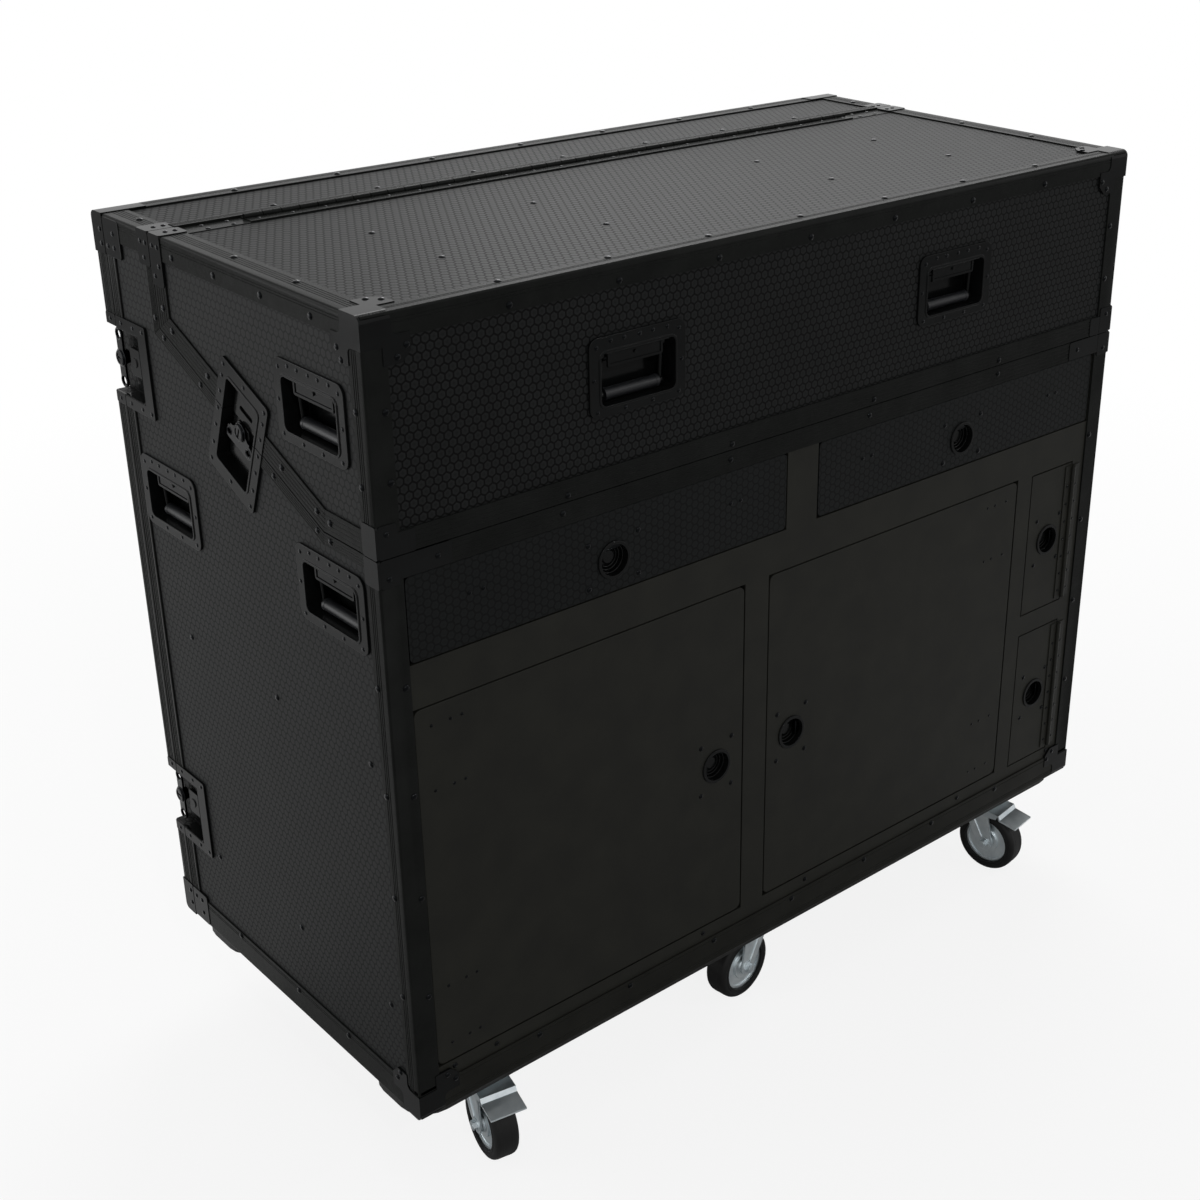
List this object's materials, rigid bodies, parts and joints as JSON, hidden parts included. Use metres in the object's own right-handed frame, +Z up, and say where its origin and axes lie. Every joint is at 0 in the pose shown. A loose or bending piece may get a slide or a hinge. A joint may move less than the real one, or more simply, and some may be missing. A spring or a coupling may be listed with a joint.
{
  "type": "flight case workstation",
  "caption": "Wheeled studio workstation case: sloped lift-up lid over a worktop, drawers, doors over rack bays, removable back, recessed latches and handles.",
  "frame": {"origin": "middle of the footprint on the floor", "axes": "+X towards the right of someone facing the doors, +Y towards the back, +Z up"},
  "size_m": [1.226, 0.605, 1.1321],
  "materials": {
    "hex_laminate": "black phenolic laminate with an embossed honeycomb pattern",
    "smooth_laminate": "smooth satin black laminate",
    "painted_plywood": "matte black paint",
    "black_steel": "gloss black powder coat",
    "zinc_sheet": "zinc plated sheet",
    "zinc_plate": "bright zinc plate",
    "grip_rubber": "matte moulded grip",
    "tyre_rubber": "matte solid tread"
  },
  "bodies": {
    "case": {"side_panel_left": "hex_laminate", "side_panel_right": "hex_laminate", "bottom_panel": "painted_plywood", "face_frame": "hex_laminate", "worktop_deck": "painted_plywood", "drawer_shelf": "painted_plywood", "centre_divider": "painted_plywood", "bay_divider": "painted_plywood", "rear_top_panel": "hex_laminate", "rear_hinge_leaf": "black_steel", "caster_board_front": "painted_plywood", "caster_board_rear": "painted_plywood", "rack_frame_left": "zinc_sheet", "rack_frame_right": "zinc_sheet", "drawer_runner_left": "zinc_sheet", "drawer_runner_centre": "zinc_sheet", "drawer_runner_right": "zinc_sheet"},
    "lid": {"lid_shell": "hex_laminate", "lid_hinge_leaf": "black_steel"},
    "rear_cover": {"rear_cover": "hex_laminate"},
    "drawer_left": {"drawer_left": "hex_laminate"},
    "drawer_right": {"drawer_right": "hex_laminate"},
    "door_left": {"door_left": "smooth_laminate"},
    "door_right": {"door_right": "smooth_laminate"},
    "door_small_upper": {"door_small_upper": "smooth_laminate"},
    "door_small_lower": {"door_small_lower": "smooth_laminate"},
    "grip_base_front_left": {"grip_base_front_left": "grip_rubber"},
    "grip_base_front_right": {"grip_base_front_right": "grip_rubber"},
    "grip_base_rear_left": {"grip_base_rear_left": "grip_rubber"},
    "grip_base_rear_right": {"grip_base_rear_right": "grip_rubber"},
    "grip_lid_front_left": {"grip_lid_front_left": "grip_rubber"},
    "grip_lid_front_right": {"grip_lid_front_right": "grip_rubber"},
    "grip_lid_left": {"grip_lid_left": "grip_rubber"},
    "grip_lid_right": {"grip_lid_right": "grip_rubber"},
    "edge_latch_lower_left": {"edge_latch_lower_left": "black_steel"},
    "edge_latch_lower_right": {"edge_latch_lower_right": "black_steel"},
    "edge_latch_upper_left": {"edge_latch_upper_left": "black_steel"},
    "edge_latch_upper_right": {"edge_latch_upper_right": "black_steel"},
    "slant_latch_left": {"slant_latch_left": "black_steel"},
    "slant_latch_right": {"slant_latch_right": "black_steel"},
    "latch_door_left": {"latch_door_left": "black_steel"},
    "latch_door_right": {"latch_door_right": "black_steel"},
    "latch_door_small_lower": {"latch_door_small_lower": "black_steel"},
    "latch_door_small_upper": {"latch_door_small_upper": "black_steel"},
    "latch_drawer_left": {"latch_drawer_left": "black_steel"},
    "latch_drawer_right": {"latch_drawer_right": "black_steel"},
    "caster_fork_front_left": {"caster_fork_front_left": "zinc_plate"},
    "caster_wheel_front_left": {"caster_wheel_front_left": "tyre_rubber"},
    "brake_pedal_front_left": {"brake_pedal_front_left": "zinc_plate"},
    "caster_fork_front_middle": {"caster_fork_front_middle": "zinc_plate"},
    "caster_wheel_front_middle": {"caster_wheel_front_middle": "tyre_rubber"},
    "caster_fork_front_right": {"caster_fork_front_right": "zinc_plate"},
    "caster_wheel_front_right": {"caster_wheel_front_right": "tyre_rubber"},
    "brake_pedal_front_right": {"brake_pedal_front_right": "zinc_plate"},
    "caster_fork_rear_left": {"caster_fork_rear_left": "zinc_plate"},
    "caster_wheel_rear_left": {"caster_wheel_rear_left": "tyre_rubber"},
    "caster_fork_rear_middle": {"caster_fork_rear_middle": "zinc_plate"},
    "caster_wheel_rear_middle": {"caster_wheel_rear_middle": "tyre_rubber"},
    "caster_fork_rear_right": {"caster_fork_rear_right": "zinc_plate"},
    "caster_wheel_rear_right": {"caster_wheel_rear_right": "tyre_rubber"}
  },
  "joints": [
    {"name": "lid_hinge", "type": "hinge", "parent": "case", "child": "lid", "pos_m": [0, 0.14797, 1.1287], "axis": [-1, 0, 0], "range_deg": [0, 100]},
    {"name": "rear_cover_pull", "type": "slide", "parent": "case", "child": "rear_cover", "axis": [0, 1, 0], "range_m": [0, 0.12]},
    {"name": "drawer_slide_left", "type": "slide", "parent": "case", "child": "drawer_left", "axis": [0, -1, 0], "range_m": [0, 0.38]},
    {"name": "drawer_slide_right", "type": "slide", "parent": "case", "child": "drawer_right", "axis": [0, -1, 0], "range_m": [0, 0.38]},
    {"name": "door_left_hinge", "type": "hinge", "parent": "case", "child": "door_left", "pos_m": [-0.5815, -0.28053, 0.44575], "axis": [0, 0, -1], "range_deg": [0, 110]},
    {"name": "door_right_hinge", "type": "hinge", "parent": "case", "child": "door_right", "pos_m": [0.432, -0.28053, 0.44575], "axis": [0, 0, 1], "range_deg": [0, 110]},
    {"name": "door_small_upper_hinge", "type": "hinge", "parent": "case", "child": "door_small_upper", "pos_m": [0.558, -0.28353, 0.572], "axis": [0, 0, 1], "range_deg": [0, 170]},
    {"name": "door_small_lower_hinge", "type": "hinge", "parent": "case", "child": "door_small_lower", "pos_m": [0.558, -0.28353, 0.31525], "axis": [0, 0, 1], "range_deg": [0, 170]},
    {"name": "grip_base_front_left_pivot", "type": "hinge", "parent": "case", "child": "grip_base_front_left", "pos_m": [-0.5995, -0.18253, 0.8145], "axis": [0, 1, 0], "range_deg": [0, 95], "stiffness_Nm_per_rad": 0.15, "springref_deg": -28.65},
    {"name": "grip_base_front_right_pivot", "type": "hinge", "parent": "case", "child": "grip_base_front_right", "pos_m": [0.5995, -0.18253, 0.8145], "axis": [0, -1, 0], "range_deg": [0, 95], "stiffness_Nm_per_rad": 0.15, "springref_deg": -28.65},
    {"name": "grip_base_rear_left_pivot", "type": "hinge", "parent": "case", "child": "grip_base_rear_left", "pos_m": [-0.5995, 0.18647, 0.8125], "axis": [0, 1, 0], "range_deg": [0, 95], "stiffness_Nm_per_rad": 0.15, "springref_deg": -28.65},
    {"name": "grip_base_rear_right_pivot", "type": "hinge", "parent": "case", "child": "grip_base_rear_right", "pos_m": [0.5995, 0.18647, 0.8125], "axis": [0, -1, 0], "range_deg": [0, 95], "stiffness_Nm_per_rad": 0.15, "springref_deg": -28.65},
    {"name": "grip_lid_front_left_pivot", "type": "hinge", "parent": "lid", "child": "grip_lid_front_left", "pos_m": [-0.265, -0.27003, 1.0225], "axis": [-1, 0, 0], "range_deg": [0, 95], "stiffness_Nm_per_rad": 0.15, "springref_deg": -28.65},
    {"name": "grip_lid_front_right_pivot", "type": "hinge", "parent": "lid", "child": "grip_lid_front_right", "pos_m": [0.265, -0.27003, 1.0225], "axis": [-1, 0, 0], "range_deg": [0, 95], "stiffness_Nm_per_rad": 0.15, "springref_deg": -28.65},
    {"name": "grip_lid_left_pivot", "type": "hinge", "parent": "lid", "child": "grip_lid_left", "pos_m": [-0.5995, -0.17353, 1.0225], "axis": [0, 1, 0], "range_deg": [0, 95], "stiffness_Nm_per_rad": 0.15, "springref_deg": -28.65},
    {"name": "grip_lid_right_pivot", "type": "hinge", "parent": "lid", "child": "grip_lid_right", "pos_m": [0.5995, -0.17353, 1.0225], "axis": [0, -1, 0], "range_deg": [0, 95], "stiffness_Nm_per_rad": 0.15, "springref_deg": -28.65},
    {"name": "edge_latch_lower_left_turn", "type": "hinge", "parent": "rear_cover", "child": "edge_latch_lower_left", "pos_m": [-0.6065, 0.28647, 0.3305], "axis": [1, 0, 0], "range_deg": [0, 180]},
    {"name": "edge_latch_lower_right_turn", "type": "hinge", "parent": "rear_cover", "child": "edge_latch_lower_right", "pos_m": [0.6065, 0.28647, 0.3305], "axis": [1, 0, 0], "range_deg": [0, 180]},
    {"name": "edge_latch_upper_left_turn", "type": "hinge", "parent": "rear_cover", "child": "edge_latch_upper_left", "pos_m": [-0.6065, 0.28647, 0.9485], "axis": [1, 0, 0], "range_deg": [0, 180]},
    {"name": "edge_latch_upper_right_turn", "type": "hinge", "parent": "rear_cover", "child": "edge_latch_upper_right", "pos_m": [0.6065, 0.28647, 0.9485], "axis": [1, 0, 0], "range_deg": [0, 180]},
    {"name": "slant_latch_left_turn", "type": "hinge", "parent": "case", "child": "slant_latch_left", "pos_m": [-0.609, -0.00653, 0.933], "axis": [1, 0, 0], "range_deg": [0, 180]},
    {"name": "slant_latch_right_turn", "type": "hinge", "parent": "case", "child": "slant_latch_right", "pos_m": [0.609, -0.00653, 0.933], "axis": [1, 0, 0], "range_deg": [0, 180]},
    {"name": "latch_door_left_flap", "type": "hinge", "parent": "door_left", "child": "latch_door_left", "pos_m": [-0.157, -0.27528, 0.4445], "axis": [0, 0, -1], "range_deg": [0, 60], "stiffness_Nm_per_rad": 0.01, "springref_deg": -34.38},
    {"name": "latch_door_right_flap", "type": "hinge", "parent": "door_right", "child": "latch_door_right", "pos_m": [0.007, -0.27528, 0.4445], "axis": [0, 0, 1], "range_deg": [0, 60], "stiffness_Nm_per_rad": 0.01, "springref_deg": -34.38},
    {"name": "latch_door_small_lower_flap", "type": "hinge", "parent": "door_small_lower", "child": "latch_door_small_lower", "pos_m": [0.5275, -0.27528, 0.3164], "axis": [0, 0, 1], "range_deg": [0, 60], "stiffness_Nm_per_rad": 0.01, "springref_deg": -34.38},
    {"name": "latch_door_small_upper_flap", "type": "hinge", "parent": "door_small_upper", "child": "latch_door_small_upper", "pos_m": [0.5275, -0.27528, 0.572], "axis": [0, 0, 1], "range_deg": [0, 60], "stiffness_Nm_per_rad": 0.01, "springref_deg": -34.38},
    {"name": "latch_drawer_left_flap", "type": "hinge", "parent": "drawer_left", "child": "latch_drawer_left", "pos_m": [-0.3026, -0.27528, 0.7965], "axis": [-1, 0, 0], "range_deg": [0, 60], "stiffness_Nm_per_rad": 0.01, "springref_deg": -34.38},
    {"name": "latch_drawer_right_flap", "type": "hinge", "parent": "drawer_right", "child": "latch_drawer_right", "pos_m": [0.3026, -0.27528, 0.7965], "axis": [-1, 0, 0], "range_deg": [0, 60], "stiffness_Nm_per_rad": 0.01, "springref_deg": -34.38},
    {"name": "caster_swivel_front_left", "type": "hinge", "parent": "case", "child": "caster_fork_front_left", "pos_m": [-0.48, -0.20753, 0], "axis": [0, 0, 1], "continuous": true},
    {"name": "caster_roll_front_left", "type": "hinge", "parent": "caster_fork_front_left", "child": "caster_wheel_front_left", "pos_m": [-0.48706, -0.24385, 0.05], "axis": [-0.9816, 0.1908, 0], "continuous": true},
    {"name": "brake_front_left", "type": "hinge", "parent": "caster_fork_front_left", "child": "brake_pedal_front_left", "pos_m": [-0.48687, -0.24286, 0.1045], "axis": [0.9816, -0.1908, 0], "range_deg": [0, 12]},
    {"name": "caster_swivel_front_middle", "type": "hinge", "parent": "case", "child": "caster_fork_front_middle", "pos_m": [0, -0.20753, 0], "axis": [0, 0, 1], "continuous": true},
    {"name": "caster_roll_front_middle", "type": "hinge", "parent": "caster_fork_front_middle", "child": "caster_wheel_front_middle", "pos_m": [-0.03672, -0.21204, 0.05], "axis": [-0.1219, 0.9925, 0], "continuous": true},
    {"name": "caster_swivel_front_right", "type": "hinge", "parent": "case", "child": "caster_fork_front_right", "pos_m": [0.48, -0.20753, 0], "axis": [0, 0, 1], "continuous": true},
    {"name": "caster_roll_front_right", "type": "hinge", "parent": "caster_fork_front_right", "child": "caster_wheel_front_right", "pos_m": [0.48579, -0.24407, 0.05], "axis": [-0.9877, -0.1564, 0], "continuous": true},
    {"name": "brake_front_right", "type": "hinge", "parent": "caster_fork_front_right", "child": "brake_pedal_front_right", "pos_m": [0.48563, -0.24308, 0.1045], "axis": [0.9877, 0.1564, 0], "range_deg": [0, 12]},
    {"name": "caster_swivel_rear_left", "type": "hinge", "parent": "case", "child": "caster_fork_rear_left", "pos_m": [-0.48, 0.21347, 0], "axis": [0, 0, 1], "continuous": true},
    {"name": "caster_roll_rear_left", "type": "hinge", "parent": "caster_fork_rear_left", "child": "caster_wheel_rear_left", "pos_m": [-0.48451, 0.17675, 0.05], "axis": [-0.9925, 0.1219, 0], "continuous": true},
    {"name": "caster_swivel_rear_middle", "type": "hinge", "parent": "case", "child": "caster_fork_rear_middle", "pos_m": [0, 0.21347, 0], "axis": [0, 0, 1], "continuous": true},
    {"name": "caster_roll_rear_middle", "type": "hinge", "parent": "caster_fork_rear_middle", "child": "caster_wheel_rear_middle", "pos_m": [-0.01082, 0.17809, 0.05], "axis": [-0.9563, 0.2924, 0], "continuous": true},
    {"name": "caster_swivel_rear_right", "type": "hinge", "parent": "case", "child": "caster_fork_rear_right", "pos_m": [0.48, 0.21347, 0], "axis": [0, 0, 1], "continuous": true},
    {"name": "caster_roll_rear_right", "type": "hinge", "parent": "caster_fork_rear_right", "child": "caster_wheel_rear_right", "pos_m": [0.48387, 0.17668, 0.05], "axis": [-0.9945, -0.1045, 0], "continuous": true}
  ]
}
